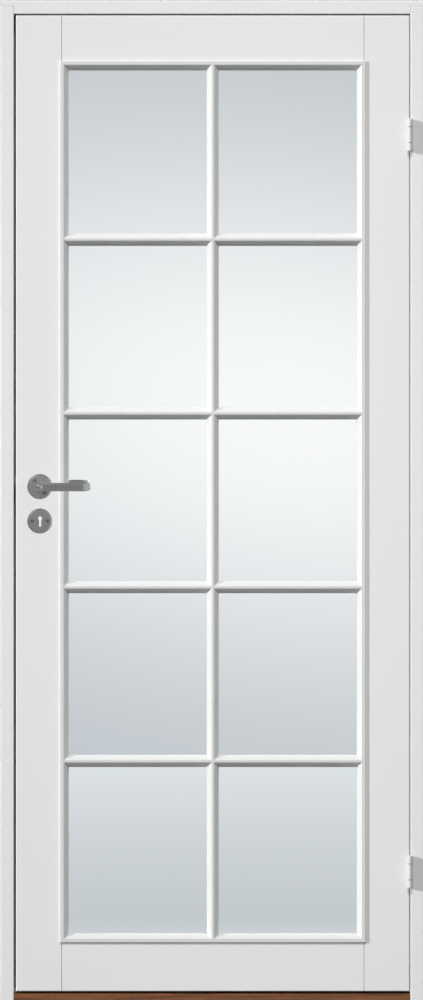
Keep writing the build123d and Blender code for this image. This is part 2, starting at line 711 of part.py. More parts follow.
def moulding_section():
    """Rounded lip on the leaf's face, slope, and a leg down to the glass."""
    lip = MOULDING_WIDTH - SLOPE_WIDTH
    foot = SLOPE_DEPTH - MOULDING_PROUD
    inner = MOULDING_LAP + MOULDING_FIT
    edge = MOULDING_ROUND - MOULDING_PROUD
    swing = MOULDING_ROUND * (1 - cos(pi / 4))
    return make_face([
        Line((0, 0), (0, edge)),
        ThreePointArc((0, edge), (swing, swing - MOULDING_PROUD), (MOULDING_ROUND, -MOULDING_PROUD)),
        Line((MOULDING_ROUND, -MOULDING_PROUD), (lip, -MOULDING_PROUD)),
        slope((lip, -MOULDING_PROUD), (MOULDING_WIDTH, foot)),
        Line((MOULDING_WIDTH, foot), (MOULDING_WIDTH, GLASS_FACE)),
        Line((MOULDING_WIDTH, GLASS_FACE), (inner, GLASS_FACE)),
        Line((inner, GLASS_FACE), (inner, 0)),
        Line((inner, 0), (0, 0)),
    ])


def bar_section(depth):
    """A glazing bar: narrow ridge, two slopes and a stem down to the given depth."""
    ridge, half = BAR_RIDGE / 2, BAR_WIDTH / 2
    foot = SLOPE_DEPTH - MOULDING_PROUD
    return make_face([
        Line((-ridge, -MOULDING_PROUD), (ridge, -MOULDING_PROUD)),
        slope((ridge, -MOULDING_PROUD), (half, foot)),
        Line((half, foot), (half, depth)),
        Line((half, depth), (-half, depth)),
        Line((-half, depth), (-half, foot)),
        slope((-half, foot), (-ridge, -MOULDING_PROUD)),
    ])


def grid_plane(face_y, inward, depth, half_across, half_length):
    """The start of a moulding: own x across towards the glass, own y into the leaf."""
    across, into = Vector(*inward), Vector(0, depth, 0)
    along = across.cross(into)
    middle = Vector(LEAF_X, face_y, OPENING_MID_Z)
    return Plane(origin=middle - across * half_across - along * half_length, x_dir=across, z_dir=along)


def mitred_moulding(length):
    """One side of the moulding, both ends cut at 45 degrees."""
    wide = MOULDING_WIDTH
    bar = extrude(moulding_section(), length)
    limit = Plane.XZ * outline([(0, 0), (wide, wide), (wide, length - wide), (0, length)])
    return bar & extrude(limit, LEAF_THICKNESS, both=True)


def glazing_grid(face_y, depth):
    """All mouldings and bars of one face, by name. depth is +1 on the front and -1 on the back."""
    pieces = {}
    upright_size = (MOULDING_HALF, MOULDING_HALF_HEIGHT)
    level_size = (MOULDING_HALF_HEIGHT, MOULDING_HALF)
    sides = {
        "left": ((1, 0, 0), upright_size),
        "right": ((-1, 0, 0), upright_size),
        "top": ((0, 0, -1), level_size),
        "bottom": ((0, 0, 1), level_size),
    }
    for name, (inward, (half_across, half_length)) in sides.items():
        start = grid_plane(face_y, inward, depth, half_across, half_length)
        pieces["moulding_" + name] = start * mitred_moulding(2 * half_length)

    reach = DAYLIGHT_HALF_HEIGHT + SLOPE_WIDTH
    foot = grid_plane(face_y, (depth, 0, 0), depth, 0, reach)
    upright = foot * extrude(bar_section(GLASS_FACE), 2 * reach)
    upright_front = foot * extrude(bar_section(HALVING_DEPTH), 2 * reach)
    upright = upright - [pieces["moulding_top"], pieces["moulding_bottom"]]
    halving_y = face_y + depth * HALVING_DEPTH
    floor_y = face_y + depth * (GLASS_FACE + OVERRUN)
    half = BAR_WIDTH / 2
    notches = [
        block(LEAF_X - half - OVERRUN, LEAF_X + half + OVERRUN, halving_y, floor_y, z - half, z + half)
        for z in BAR_HEIGHTS
    ]
    pieces["upright_bar"] = upright - notches

    reach = DAYLIGHT_HALF + SLOPE_WIDTH
    start = grid_plane(face_y, (0, 0, -1), depth, 0, reach)
    level = start * extrude(bar_section(GLASS_FACE), 2 * reach)
    for row, z in enumerate(BAR_HEIGHTS, 1):
        bar = Pos(0, 0, z - OPENING_MID_Z) * level
        pieces[f"cross_bar_{row}"] = bar - [pieces["moulding_left"], pieces["moulding_right"], upright_front]
    return pieces


# Lock

def lock_case():
    """The case: an open tray with the back wall, top, bottom and end."""
    wall = CASE_WALL
    body = block(CASE_X, CASE_END_X, CASE_FRONT_Y + wall, CASE_BACK_Y, CASE_BOTTOM, CASE_TOP)
    inside = block(CASE_X - OVERRUN, CASE_END_X - wall, CASE_FRONT_Y - OVERRUN, CASE_BACK_Y - wall,
                   CASE_BOTTOM + wall, CASE_TOP - wall)
    return body - [inside, hub_hole(), keyhole(FRONT_Y, LEAF_BACK_Y, 0)]


def lock_cover():
    cover = block(CASE_X, CASE_END_X, CASE_FRONT_Y, CASE_FRONT_Y + CASE_WALL, CASE_BOTTOM, CASE_TOP)
    return cover - [hub_hole(), keyhole(FRONT_Y, LEAF_BACK_Y, 0)]


def hub_hole():
    return rod(HUB_RADIUS + HUB_CLEARANCE, (SPINDLE_X, FRONT_Y, SPINDLE_Z), (0, 1, 0), LEAF_THICKNESS)


def lock_faceplate():
    gap = BOLT_CLEARANCE
    x0, x1 = LOCK_EDGE_X - OVERRUN, LOCK_EDGE_X + PLATE_THICKNESS + OVERRUN
    openings = []
    for z, height, thickness in (
        (LATCH_Z, LATCH_HEIGHT, LATCH_THICKNESS),
        (DEADBOLT_Z, DEADBOLT_HEIGHT, DEADBOLT_THICKNESS),
    ):
        half, rise = thickness / 2 + gap, height / 2 + gap
        openings.append(block(x0, x1, LEAF_MID_Y - half, LEAF_MID_Y + half, z - rise, z + rise))
    return faceplate_blank(0) - openings - screw_holes_at(FACEPLATE_PLACES, HARDWARE_SCREW)


def latch_bolt():
    """The sprung bolt: a nose bevelled on the closing side, and a tail with the follower's window."""
    half = LATCH_THICKNESS / 2
    tip, back = LOCK_EDGE_X - LATCH_REACH, LOCK_EDGE_X + LATCH_INSIDE
    section = outline([
        (tip, LEAF_MID_Y - half),
        (tip, LEAF_MID_Y - half + LATCH_NOSE),
        (LOCK_EDGE_X, LEAF_MID_Y + half),
        (back, LEAF_MID_Y + half),
        (back, LEAF_MID_Y - half),
    ])
    nose = Pos(0, 0, LATCH_Z - LATCH_HEIGHT / 2) * extrude(section, LATCH_HEIGHT)
    rise = LATCH_TAIL_HEIGHT / 2
    tail = block(back, LATCH_END_X, LEAF_MID_Y - half, LEAF_MID_Y + half, LATCH_Z - rise, LATCH_Z + rise)
    depth = ARM_THICKNESS / 2 + WINDOW_CLEARANCE
    window = block(WINDOW_X - WINDOW_HALF, WINDOW_X + WINDOW_HALF, LEAF_MID_Y - depth, LEAF_MID_Y + depth,
                   LATCH_Z - rise - OVERRUN, LATCH_Z + rise + OVERRUN)
    return nose + tail - window


def latch_spring():
    """The coil between the latch's tail and the end of the case."""
    start = LATCH_END_X + SPRING_SEAT_GAP + SPRING_WIRE_RADIUS
    end = CASE_END_X - CASE_WALL - SPRING_SEAT_GAP - SPRING_WIRE_RADIUS
    length = end - start
    path = Helix(length / SPRING_TURNS, length, SPRING_RADIUS)
    wire = sweep(Plane(origin=path @ 0, z_dir=path % 0) * Circle(SPRING_WIRE_RADIUS), path)
    return facing((start, LEAF_MID_Y, LATCH_Z), (1, 0, 0)) * wire


def follower():
    """The square bored hub that the spindle turns, with the arm that draws the latch."""
    axis = (0, 1, 0)
    disc = rod(FOLLOWER_RADIUS, (SPINDLE_X, LEAF_MID_Y - FOLLOWER_WIDTH / 2, SPINDLE_Z), axis, FOLLOWER_WIDTH)
    hub = rod(HUB_RADIUS, (SPINDLE_X, CASE_FRONT_Y, SPINDLE_Z), axis, CASE_THICKNESS)
    top = (LATCH_RISE + LATCH_TAIL_HEIGHT / 2) / cos(ARM_SWING) + ARM_TIP_CLEARANCE
    arm = block(-ARM_WIDTH / 2, ARM_WIDTH / 2, -ARM_THICKNESS / 2, ARM_THICKNESS / 2, 0, top)
    arm = Pos(SPINDLE_X, LEAF_MID_Y, SPINDLE_Z) * Rot(0, -LEVER_TURN / 2, 0) * arm
    return disc + hub + arm - spindle_bar(SQUARE_CLEARANCE, OVERRUN)


def spindle_bar(gap, extra):
    """The square bar through lock and levers, grown by a gap and lengthened at both ends."""
    half = SQUARE / 2 + gap
    return block(SPINDLE_X - half, SPINDLE_X + half, FRONT_Y - SPINDLE_ENGAGEMENT - extra,
                 LEAF_BACK_Y + SPINDLE_ENGAGEMENT + extra, SPINDLE_Z - half, SPINDLE_Z + half)


def deadbolt():
    """The bolt thrown by the key, drawn back, with the talon notch for the key's bit."""
    half, rise = DEADBOLT_THICKNESS / 2, DEADBOLT_HEIGHT / 2
    bar = block(LOCK_EDGE_X, LOCK_EDGE_X + DEADBOLT_LENGTH, LEAF_MID_Y - half, LEAF_MID_Y + half,
                DEADBOLT_Z - rise, DEADBOLT_Z + rise)
    notch = (SPINDLE_X - DEADBOLT_TRAVEL / 2, LEAF_MID_Y - OVERRUN, DEADBOLT_Z - rise)
    return bar - rod(TALON_RADIUS, notch, (0, 1, 0), 2 * OVERRUN)


# Handle furniture

def lever_strap():
    """The flat arm and its return, in the plane x, y with the arm's middle line on x."""
    half = STRAP_THICKNESS / 2
    turn_x = LEVER_LENGTH - half - RETURN_RADIUS
    end_x = turn_x - RETURN_LENGTH
    back = 2 * RETURN_RADIUS
    outer, inner = RETURN_RADIUS + half, RETURN_RADIUS - half
    strap = extrude(make_face([
        Line((0, -half), (turn_x, -half)),
        ThreePointArc((turn_x, -half), (turn_x + outer, RETURN_RADIUS), (turn_x, back + half)),
        Line((turn_x, back + half), (end_x, back + half)),
        ThreePointArc((end_x, back + half), (end_x - half, back), (end_x, back - half)),
        Line((end_x, back - half), (turn_x, back - half)),
        ThreePointArc((turn_x, back - half), (turn_x + inner, RETURN_RADIUS), (turn_x, half)),
        Line((turn_x, half), (0, half)),
        Line((0, half), (0, -half)),
    ]), STRAP_HEIGHT / 2, both=True)
    rims = strap.faces().sort_by(Axis.Z)
    return fillet(rims[0].edges() + rims[-1].edges(), STRAP_ROUND)


def lever(face_y, out):
    """Round neck, elbow and flat arm that turns back to the leaf. out is -1 on the front, 1 on the back."""
    elbow_y = face_y + out * LEVER_REACH
    middle = Pos(SPINDLE_X, elbow_y, SPINDLE_Z)
    strap = Pos(0, 0, -LEVER_DROP) * Rot(RETURN_TILT, 0, 0) * lever_strap()
    if out > 0:
        strap = mirror(strap, about=Plane.XZ)
    neck = rod(NECK_RADIUS, (SPINDLE_X, face_y, SPINDLE_Z), (0, out, 0), LEVER_REACH)
    body = neck + middle * Sphere(NECK_RADIUS) + middle * strap
    return body - [spindle_bar(SQUARE_CLEARANCE, 0), grub_screw(face_y, out, OVERRUN)]


def grub_screw(face_y, out, extra):
    """The set screw under the neck that holds the spindle, lengthened downwards for its hole."""
    length = NECK_RADIUS - SQUARE / 2 - SQUARE_CLEARANCE
    start = (SPINDLE_X, face_y + out * GRUB_REACH, SPINDLE_Z - SQUARE / 2 - SQUARE_CLEARANCE)
    return rod(GRUB_RADIUS, start, (0, 0, -1), length + extra)


def rose_disc(middle, face_y, out):
    """A round cover plate with a rounded rim, seated on the leaf's face."""
    disc = Cylinder(ROSE_RADIUS, ROSE_THICKNESS, align=(Align.CENTER, Align.CENTER, Align.MIN))
    rim = disc.edges().filter_by(GeomType.CIRCLE).sort_by(Axis.Z)[-1]
    disc = fillet(rim, ROSE_ROUND)
    return facing((SPINDLE_X, face_y, middle), (0, out, 0)) * disc


def rose(face_y, out):
    bore = rod(NECK_RADIUS + ROSE_BORE_CLEARANCE, (SPINDLE_X, face_y - out * OVERRUN, SPINDLE_Z), (0, out, 0),
               ROSE_THICKNESS + 2 * OVERRUN)
    return rose_disc(SPINDLE_Z, face_y, out) - bore - screw_holes_at(ROSE_PLACES, ROSE_SCREW)


def escutcheon(face_y, out):
    hole = keyhole(FRONT_Y - OVERRUN, LEAF_BACK_Y + OVERRUN, 0)
    return rose_disc(KEY_Z, face_y, out) - hole - screw_holes_at(ROSE_PLACES, ROSE_SCREW)


# The whole door, by node name

def door_nodes():
    nodes = {
        "lock_jamb": lock_jamb(),
        "hinge_jamb": hinge_jamb(),
        "head": head(),
        "threshold": threshold(),
        "lock_side_seal": side_seal(-1),
        "hinge_side_seal": side_seal(1),
        "head_seal": head_seal(),
        "frame_screws": screws_at(FRAME_SCREW_PLACES, FRAME_SCREW),
        "strike_plate": strike_plate(),
        "strike_screws": screws_at(STRIKE_PLACES, HARDWARE_SCREW),
        "hinge_frame_screws": screws_at(HINGE_FRAME_PLACES, HARDWARE_SCREW),
        "lock_stile": lock_stile(),
        "hinge_stile": hinge_stile(),
        "top_rail": rail(OPENING_TOP, LEAF_TOP, LEAF_TOP),
        "bottom_rail": rail(LEAF_BOTTOM, OPENING_BOTTOM, LEAF_BOTTOM),
        "rail_dowels": rail_dowels(),
        "glass": glass(),
        "setting_blocks": setting_blocks(),
        "hinge_door_screws": screws_at(HINGE_DOOR_PLACES, HARDWARE_SCREW),
        "lock_case": lock_case(),
        "lock_cover": lock_cover(),
        "lock_faceplate": lock_faceplate(),
        "faceplate_screws": screws_at(FACEPLATE_PLACES, HARDWARE_SCREW),
        "latch_spring": latch_spring(),
        "rose_screws": screws_at(ROSE_PLACES, ROSE_SCREW),
        "spindle": spindle_bar(0, 0),
        "follower": follower(),
        "latch_bolt": latch_bolt(),
        "deadbolt": deadbolt(),
    }
    for name, middle in HINGE_HEIGHTS.items():
        nodes[name + "_hinge_frame_leaf"] = hinge_frame_leaf(middle)
        nodes[name + "_hinge_door_leaf"] = hinge_door_leaf(middle)
        nodes[name + "_hinge_pin"] = hinge_pin(middle)
    grubs = []
    for name, face_y, out in (("front", FRONT_Y, -1), ("back", LEAF_BACK_Y, 1)):
        for piece, solid in glazing_grid(face_y, -out).items():
            nodes[f"{name}_{piece}"] = solid
        nodes[name + "_lever"] = lever(face_y, out)
        nodes[name + "_rose"] = rose(face_y, out)
        nodes[name + "_escutcheon"] = escutcheon(face_y, out)
        grubs.append(grub_screw(face_y, out, 0))
    nodes["grub_screws"] = grubs
    return nodes


os.makedirs("parts", exist_ok=True)
for node, shape in door_nodes().items():
    pieces = shape if isinstance(shape, list) else [shape]
    solids = [solid for piece in pieces for solid in piece.solids()]
    whole = Compound(children=solids) if len(solids) > 1 else solids[0]
    export_step(whole, f"parts/{node}.step")
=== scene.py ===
import json
import math

import bpy
from bpy.props import FloatProperty, FloatVectorProperty, PointerProperty
from bpy.types import Operator, Panel, PropertyGroup
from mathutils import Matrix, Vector

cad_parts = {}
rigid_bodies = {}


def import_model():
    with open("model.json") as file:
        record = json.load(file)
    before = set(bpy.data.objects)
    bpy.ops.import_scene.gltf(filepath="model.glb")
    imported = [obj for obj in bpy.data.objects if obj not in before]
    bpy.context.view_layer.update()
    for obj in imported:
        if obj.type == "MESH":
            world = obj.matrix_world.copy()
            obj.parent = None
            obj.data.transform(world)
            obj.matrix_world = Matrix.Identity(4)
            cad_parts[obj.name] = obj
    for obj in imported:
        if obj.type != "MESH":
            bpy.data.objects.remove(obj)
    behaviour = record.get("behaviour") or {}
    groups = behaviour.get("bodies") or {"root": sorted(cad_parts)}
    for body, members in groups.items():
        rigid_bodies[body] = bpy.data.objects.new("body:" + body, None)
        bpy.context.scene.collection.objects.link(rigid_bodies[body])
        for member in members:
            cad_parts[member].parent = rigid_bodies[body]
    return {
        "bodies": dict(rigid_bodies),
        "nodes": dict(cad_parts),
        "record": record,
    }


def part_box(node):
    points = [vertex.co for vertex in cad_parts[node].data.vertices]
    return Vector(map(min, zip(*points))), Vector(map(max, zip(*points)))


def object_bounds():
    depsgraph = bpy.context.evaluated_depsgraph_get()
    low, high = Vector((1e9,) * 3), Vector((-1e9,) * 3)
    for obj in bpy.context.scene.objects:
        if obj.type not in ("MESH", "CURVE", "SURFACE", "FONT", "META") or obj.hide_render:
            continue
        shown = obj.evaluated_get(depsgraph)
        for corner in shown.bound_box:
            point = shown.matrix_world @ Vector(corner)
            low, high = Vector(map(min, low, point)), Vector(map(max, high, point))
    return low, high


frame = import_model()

bl_info = {
    "name": "Glazed interior door",
    "version": (1, 0, 0),
    "blender": (4, 5, 0),
    "location": "View3D > Sidebar > Door",
    "description": "Finishes a white painted, glazed wooden door in its frame and sets a studio round it",
    "category": "Object",
}

NODES = frame["nodes"]
CAD_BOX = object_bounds()
DOOR_MIDDLE = (CAD_BOX[0] + CAD_BOX[1]) / 2
FRAME_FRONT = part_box("lock_jamb")[0].y


def linear(colour):
    """Linear red, green and blue of an sRGB hex colour."""
    parts = [int(colour[start:start + 2], 16) / 255 for start in (1, 3, 5)]
    return tuple(p / 12.92 if p <= 0.04045 else ((p + 0.055) / 1.055) ** 2.4 for p in parts)


def colour_setting(name, description, colour):
    """A colour that can be changed in the panel."""
    return FloatVectorProperty(
        name=name, description=description, default=linear(colour),
        subtype="COLOR", size=3, min=0.0, max=1.0)


def length_setting(name, description, metres):
    """A length in metres that can be changed in the panel."""
    return FloatProperty(
        name=name, description=description, default=metres, subtype="DISTANCE", unit="LENGTH", precision=5)


def share_setting(name, description, share):
    """A share between nothing and all that can be changed in the panel."""
    return FloatProperty(
        name=name, description=description, default=share, subtype="FACTOR", min=0.0, max=1.0)


def power_setting(name, description, watts):
    """A lamp's power in watts that can be changed in the panel."""
    return FloatProperty(
        name=name, description=description, default=watts, unit="POWER", min=0.0, precision=3)


def strength_setting(name, description, strength):
    """A light's strength that can be changed in the panel."""
    return FloatProperty(name=name, description=description, default=strength, min=0.0, precision=3)


class DoorPaint(PropertyGroup):
    """The white satin paint on the wood and on the hinges."""

    leaf: colour_setting("Leaf and frame", "Paint of the stiles, rails, jambs and head", "#EAEAE9")
    # Painted shade: a dark line standing in for the shadow in the open joints between stiles and rails
    joint: colour_setting("Joints", "Bare wood in the open joints between stiles and rails", "#6E6B68")
    moulding: colour_setting("Mouldings", "Paint of the mouldings and glazing bars", "#DADBDA")
    hinge: colour_setting("Hinges", "Powder coat of the hinges", "#D2D2D1")
    roughness: share_setting("Roughness", "How dull the satin paint is", 0.42)
    grain: length_setting("Grain width", "Width of the pine's grain where it shows through the paint", 0.004)
    relief: length_setting("Grain relief", "How high the grain stands under the paint", 0.00004)


class DoorTimber(PropertyGroup):
    """Bare timber: the threshold and the dowels."""

    oak_dark: colour_setting("Oak, late wood", "Dark lines of the oiled oak", "#4F3221")
    oak_pale: colour_setting("Oak, early wood", "Pale ground of the oiled oak", "#935F3A")
    oak_roughness: share_setting("Oak roughness", "How dull the oiled oak is", 0.46)
    oak_grain: length_setting("Oak grain width", "Distance between the oak's grain lines", 0.005)
    beech: colour_setting("Beech", "Ground colour of the planed beech", "#C39A72")


class DoorHardware(PropertyGroup):
    """Metal of the handle, the lock and the screws."""

    stainless: colour_setting("Stainless steel", "Brushed steel of lever, rose and escutcheon", "#C6C6C4")
    stainless_roughness: share_setting("Stainless roughness", "How dull the satin brushed steel is", 0.42)
    brushing: length_setting("Brush lines", "Distance between the brush lines", 0.0006)
    zinc: colour_setting("Zinc", "Zinc plated steel of the lock and the screws", "#BFC2C4")
    nickel: colour_setting("Nickel", "Nickel plated bolts", "#C9C3B6")
    # Partly real, partly painted shade: the pin is steel, and its very dark colour stands in for the shade
    # in the knuckle gaps
    shank: colour_setting("Hinge pin", "Greased steel shank of the hinge pins", "#4A4A4B")
    screw: colour_setting("Rose screws", "Burnished steel of the screws in roses and escutcheons", "#A2A2A0")


class DoorGlazing(PropertyGroup):
    """Glass, seals and setting blocks."""

    glass: colour_setting("Glass", "Faint tint of the clear glass", "#FCFEFE")
    seal: colour_setting("Seal", "Soft black seal strip", "#1B1B1C")
    block: colour_setting("Setting block", "Black plastic block under the glass", "#1D1D1E")


class DoorStudio(PropertyGroup):
    """Floor, backdrop, lamps and camera."""

    floor_near: colour_setting("Floor near", "Floor close to the door", "#C6CBD0")
    floor_sweep: colour_setting("Floor sweep", "Floor where it begins to rise in brightness", "#C2C7CB")
    floor_far: colour_setting("Floor far", "Floor at the backdrop", "#E4E8EB")
    backdrop_glow: colour_setting("Backdrop glow", "Brightest spot of the backdrop", "#FFFFFF")
    backdrop_edge: colour_setting("Backdrop edge", "Backdrop away from the glow", "#C6CBD0")
    backdrop_distance: length_setting("Backdrop distance", "From the door's middle to the backdrop", 14.55)
    world: colour_setting("Surroundings", "What shows beside floor and backdrop", "#ECEEF0")
    sky: strength_setting("Sky light", "Soft light from above and the sides", 0.285)
    ground: strength_setting("Ground light", "Soft light from below", 0.25)
    gloss_sky: strength_setting("Sky in the gloss", "Brightness that gloss shows of above", 0.14)
    gloss_ground: strength_setting("Ground in the gloss", "Brightness that gloss shows of below", 0.355)
    board: strength_setting("Board in the gloss", "White board on the right that gloss shows", 1.0)
    key: strength_setting("Key light", "Low light from the left, in watts a square metre", 2.9)
    softbox: power_setting("Softbox", "Large lamp above the viewer", 16.9)
    fill: power_setting("Back fill", "Large lamp behind the hinge side", 430.0)
    sheen: power_setting("Handle sheen", "Small lamp before the handle set", 0.24)
    glint: power_setting("Handle glint", "Small lamp above the handle set", 1.1)
    distance: length_setting("Camera distance", "From the lens to the frame's front", 16.0)
    field: length_setting("Field height", "Height that the picture takes in at the frame's front", 2.0905)
    centre_x: length_setting("Centre across", "Picture centre, from the door's middle", -0.0012)
    centre_z: length_setting("Centre height", "Picture centre, above the floor", 1.046)


class DoorSettings(PropertyGroup):
    """All settings of the door's finish."""

    paint: PointerProperty(type=DoorPaint)
    timber: PointerProperty(type=DoorTimber)
    hardware: PointerProperty(type=DoorHardware)
    glazing: PointerProperty(type=DoorGlazing)
    studio: PointerProperty(type=DoorStudio)


# Materials

def add(tree, kind, settings=None, links=None):
    """Add a node to a tree, set its values and link its inputs."""
    made = tree.nodes.new(kind)
    for key, value in (settings or {}).items():
        if isinstance(key, int) or key in made.inputs:
            made.inputs[key].default_value = value
        else:
            setattr(made, key, value)
    for key, socket in (links or {}).items():
        tree.links.new(socket, made.inputs[key])
    return made


def new_material(name):
    """An empty node material."""
    material = bpy.data.materials.new(name)
    material.use_nodes = True
    material.node_tree.nodes.clear()
    return material, material.node_tree


def show(tree, shader):
    """Make a shader the surface of the material."""
    add(tree, "ShaderNodeOutputMaterial", links={"Surface": shader.outputs[0]})


def solid(colour):
    """A colour as a socket takes it."""
    return (*colour, 1.0)


def stretched(tree, axis, width, length):
    """Coordinates in which one unit is a grain's width, and its length along the axis."""
    scale = [1 / width] * 3
    scale[axis] = 1 / length
    place = add(tree, "ShaderNodeTexCoord")
    return add(tree, "ShaderNodeMapping", {"Scale": scale}, {"Vector": place.outputs["Object"]}).outputs[0]


def long_axis(node):
    """The axis along which a piece is longest."""
    low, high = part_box(node)
    size = high - low
    return max(range(3), key=lambda axis: size[axis])


def slot_nodes(*slots):
    """The pieces that take their finish from these material slots."""
    return [part["node"] for part in frame["record"]["subparts"] if part["material_slot"] in slots]


def put_on(nodes, material):
    """Give a material to every slot of the pieces."""
    for node in nodes:
        for slot in NODES[node].material_slots:
            slot.material = material


# Real sizes of the patterns, in metres
PORE_WIDTH = 0.0009
SPRAY_WIDTH = 0.0016
PAINT_CLOUD = 0.12
PLATING_CLOUD = 0.0056
GREASE_SMEAR = 0.0025
PIN_CROWN = 0.0013
# Width of the painted shade line at each end of a rail
JOINT_SHADE_WIDTH = 0.00095

# Lengths of grain and brush lines, for each width
PINE_STRETCH = 70.0
OAK_STRETCH = 45.0
PORE_STRETCH = 22.0
CLOUD_STRETCH = 3.0
BRUSH_STRETCH = 60.0

# Colours where a film is thin or a fleck is dark, as shares of the full colour
THIN_PAINT = 0.975
OAK_PORE = 0.5
BEECH_FLECK = 0.7
THIN_PLATING = 0.8
RUBBER_MOTTLE = 0.85


def satin_paint_on_pine(name, colour, axis, paint, ends=None):
    """Satin paint sprayed on planed pine.

    Nearly even white with a low gloss. The grain shows only as faint ripples along the piece, over a fine
    spray texture, and the film's thickness clouds the white very slightly. Where the rail's ends are given,
    a thin dark line at each end is painted shade, standing in for the shadow in the open joints.
    """
    material, tree = new_material(name)
    grain = add(tree, "ShaderNodeTexNoise", {"Scale": 1.0, "Detail": 2.5, "Roughness": 0.55},
                {"Vector": stretched(tree, axis, paint.grain, paint.grain * PINE_STRETCH)})
    spray = add(tree, "ShaderNodeTexNoise", {"Scale": 1.0, "Detail": 1.0},
                {"Vector": stretched(tree, axis, SPRAY_WIDTH, SPRAY_WIDTH)})
    cloud = add(tree, "ShaderNodeTexNoise", {"Scale": 1.0, "Detail": 2.0},
                {"Vector": stretched(tree, axis, PAINT_CLOUD, PAINT_CLOUD * CLOUD_STRETCH)})
    shade = add(tree, "ShaderNodeMix",
                {"data_type": "RGBA", 6: solid(Vector(colour) * THIN_PAINT), 7: solid(colour)},
                {0: cloud.outputs["Fac"]})
    # Painted shade: with the rail's ends given, a thin dark line at each end stands in for the shadow in the
    # open joints
    if ends:
        place = add(tree, "ShaderNodeTexCoord")
        axes = add(tree, "ShaderNodeSeparateXYZ", links={0: place.outputs["Object"]})
        painted = add(tree, "ShaderNodeMath",
                      {"operation": "COMPARE", 1: sum(ends) / 2, 2: (ends[1] - ends[0]) / 2 - JOINT_SHADE_WIDTH},
                      {0: axes.outputs[axis]})
        shade = add(tree, "ShaderNodeMix", {"data_type": "RGBA", 6: solid(paint.joint)},
                    {0: painted.outputs[0], 7: shade.outputs[2]})
    dull = add(tree, "ShaderNodeMapRange",
               {"To Min": paint.roughness - 0.05, "To Max": paint.roughness + 0.05},
               {"Value": grain.outputs["Fac"]})
    ripple = add(tree, "ShaderNodeBump", {"Strength": 0.6, "Distance": paint.relief},
                 {"Height": grain.outputs["Fac"]})
    film = add(tree, "ShaderNodeBump", {"Strength": 0.35, "Distance": paint.relief / 2},
               {"Height": spray.outputs["Fac"], "Normal": ripple.outputs[0]})
    show(tree, add(tree, "ShaderNodeBsdfPrincipled", {"IOR": 1.5}, {
        "Base Color": shade.outputs[2], "Roughness": dull.outputs[0], "Normal": film.outputs[0]}))
    return material


def oiled_oak(name, axis, timber):
    """Planed oak, stained and oiled: brown bands along the piece, short dark open pores, a dull sheen."""
    material, tree = new_material(name)
    bands = add(tree, "ShaderNodeTexNoise",
                {"Scale": 1.0, "Detail": 4.0, "Roughness": 0.6, "Distortion": 0.4},
                {"Vector": stretched(tree, axis, timber.oak_grain, timber.oak_grain * OAK_STRETCH)})
    pores = add(tree, "ShaderNodeTexNoise", {"Scale": 1.0, "Detail": 2.0},
                {"Vector": stretched(tree, axis, PORE_WIDTH, PORE_WIDTH * PORE_STRETCH)})
    band = add(tree, "ShaderNodeMapRange", {"From Min": 0.34, "From Max": 0.66},
               {"Value": bands.outputs["Fac"]})
    pore = add(tree, "ShaderNodeMapRange", {"From Min": 0.58, "From Max": 0.72, "To Max": 0.7},
               {"Value": pores.outputs["Fac"]})
    ground = add(tree, "ShaderNodeMix",
                 {"data_type": "RGBA", 6: solid(timber.oak_dark), 7: solid(timber.oak_pale)},
                 {0: band.outputs[0]})
    colour = add(tree, "ShaderNodeMix", {"data_type": "RGBA", 7: solid(Vector(timber.oak_dark) * OAK_PORE)},
                 {0: pore.outputs[0], 6: ground.outputs[2]})
    dull = add(tree, "ShaderNodeMapRange",
               {"To Min": timber.oak_roughness, "To Max": timber.oak_roughness + 0.25},
               {"Value": pore.outputs[0]})
    relief = add(tree, "ShaderNodeBump", {"Strength": 0.8, "Distance": 0.0001, "invert": True},
                 {"Height": pore.outputs[0]})
    show(tree, add(tree, "ShaderNodeBsdfPrincipled", {"IOR": 1.48}, {
        "Base Color": colour.outputs[2], "Roughness": dull.outputs[0], "Normal": relief.outputs[0]}))
    return material


def planed_beech(name, axis, timber):
    """Planed beech: an even pale ground with short darker flecks along the piece."""
    material, tree = new_material(name)
    flecks = add(tree, "ShaderNodeTexNoise", {"Scale": 1.0, "Detail": 3.0},
                 {"Vector": stretched(tree, axis, PORE_WIDTH, PORE_WIDTH * PORE_STRETCH)})
    colour = add(tree, "ShaderNodeMix",
                 {"data_type": "RGBA", 6: solid(timber.beech), 7: solid(Vector(timber.beech) * BEECH_FLECK)},
                 {0: flecks.outputs["Fac"]})
    show(tree, add(tree, "ShaderNodeBsdfPrincipled", {"Roughness": 0.6}, {"Base Color": colour.outputs[2]}))
    return material


def show_satin_steel(tree, lines, hardware):
    """Make satin stainless steel the surface, its gloss and relief broken by the brush lines."""
    roughness = hardware.stainless_roughness
    dull = add(tree, "ShaderNodeMapRange", {"To Min": roughness - 0.06, "To Max": roughness + 0.06},
               {"Value": lines.outputs["Fac"]})
    relief = add(tree, "ShaderNodeBump", {"Strength": 0.25, "Distance": 0.00002},
                 {"Height": lines.outputs["Fac"]})
    show(tree, add(tree, "ShaderNodeBsdfPrincipled",
                   {"Base Color": solid(hardware.stainless), "Metallic": 1.0},
                   {"Roughness": dull.outputs[0], "Normal": relief.outputs[0]}))


def brushed_stainless(name, axis, hardware):
    """Stainless steel with a satin brush along the piece: grey, with a soft stretched gloss.

    The brush lines are drawn coarser than real ones, because real ones are too fine to show.
    """
    material, tree = new_material(name)
    lines = add(tree, "ShaderNodeTexNoise", {"Scale": 1.0, "Detail": 2.0},
                {"Vector": stretched(tree, axis, hardware.brushing, hardware.brushing * BRUSH_STRETCH)})
    show_satin_steel(tree, lines, hardware)
    return material


